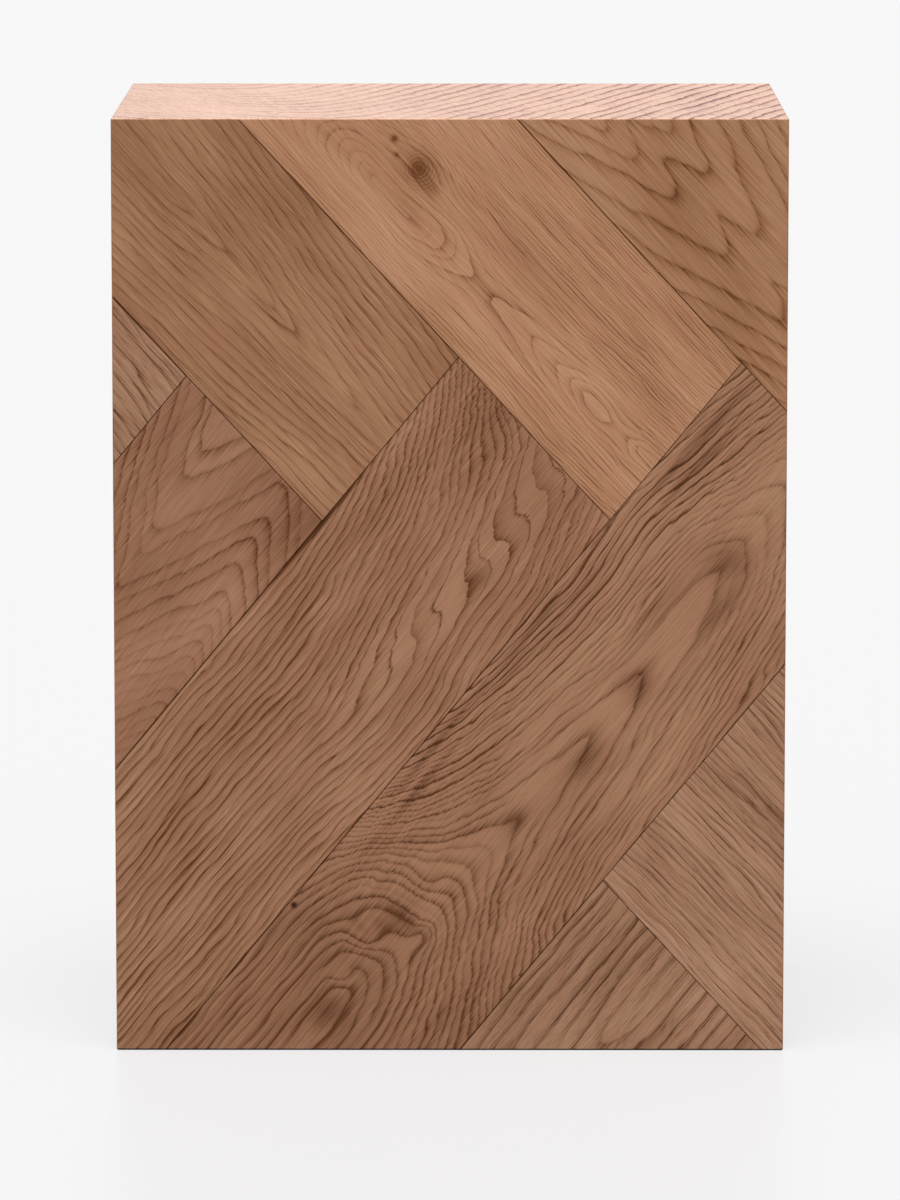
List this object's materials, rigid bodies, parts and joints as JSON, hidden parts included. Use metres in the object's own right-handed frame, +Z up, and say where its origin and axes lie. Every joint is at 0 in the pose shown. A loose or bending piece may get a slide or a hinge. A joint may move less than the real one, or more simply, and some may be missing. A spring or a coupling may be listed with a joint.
{
  "type": "parquet block",
  "caption": "Upright hollow block of mitred oak boards whose front is laid in herringbone parquet planks; a plinth or display block that stands on its base.",
  "frame": {"origin": "middle of the underside, at floor level", "axes": "+Z up, +X to the right seen from the parquet front, +Y from the front to the back"},
  "size_m": [0.3, 0.21, 0.42],
  "materials": {
    "oak_plank": "satin",
    "oak_board": "satin"
  },
  "bodies": {
    "root": {"front_plank_left_tip": "oak_plank", "front_plank_top_left": "oak_plank", "front_plank_top_middle": "oak_plank", "front_plank_top_right": "oak_plank", "front_plank_left": "oak_plank", "front_plank_centre": "oak_plank", "front_plank_long": "oak_plank", "front_plank_right": "oak_plank", "front_plank_bottom": "oak_plank", "top_board": "oak_board", "left_side_board": "oak_board", "right_side_board": "oak_board", "back_board": "oak_board", "base_board": "oak_board"}
  },
  "joints": []
}
